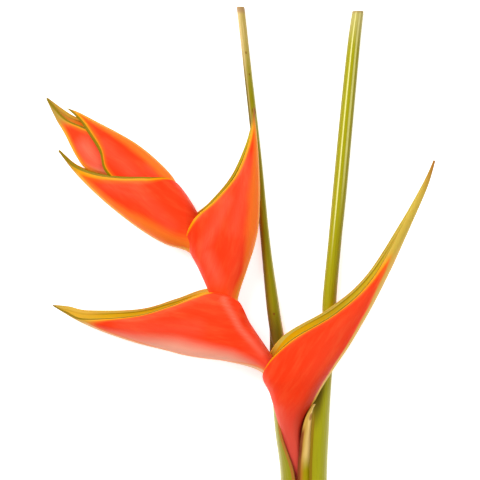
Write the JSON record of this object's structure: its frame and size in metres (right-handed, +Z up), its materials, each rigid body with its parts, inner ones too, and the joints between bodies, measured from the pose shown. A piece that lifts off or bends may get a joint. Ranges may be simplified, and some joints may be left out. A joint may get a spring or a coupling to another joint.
{
  "type": "heliconia flower",
  "caption": "Cut heliconia lying on its back: orange-red boat-shaped bracts on a zigzag stalk above a rolled leaf-sheath stem with long bare leaf stalks.",
  "frame": {"origin": "centre of the object's box, on the surface that it lies on", "axes": "+Y up the stem towards the cut tops of the leaf stalks, +X towards the tip of the lowest bract, +Z up from the surface"},
  "size_m": [0.2135, 0.275, 0.0312],
  "materials": {
    "bract": "satin",
    "flower_stalk": "satin",
    "leaf_stalk": "satin",
    "inner_sheath": "matte",
    "flower_bud": "satin"
  },
  "bodies": {
    "root": {"flower_stalk": "flower_stalk", "bract_1": "bract", "bract_2": "bract", "bract_3": "bract", "bract_4": "bract", "bract_5": "bract", "bract_6": "bract", "leaf_stalk_left": "leaf_stalk", "leaf_stalk_right": "leaf_stalk", "inner_sheath": "inner_sheath", "flower_bud_1_1": "flower_bud", "flower_bud_1_2": "flower_bud", "flower_bud_1_3": "flower_bud", "flower_bud_2_1": "flower_bud", "flower_bud_2_2": "flower_bud", "flower_bud_2_3": "flower_bud", "flower_bud_3_1": "flower_bud", "flower_bud_3_2": "flower_bud"}
  },
  "joints": []
}
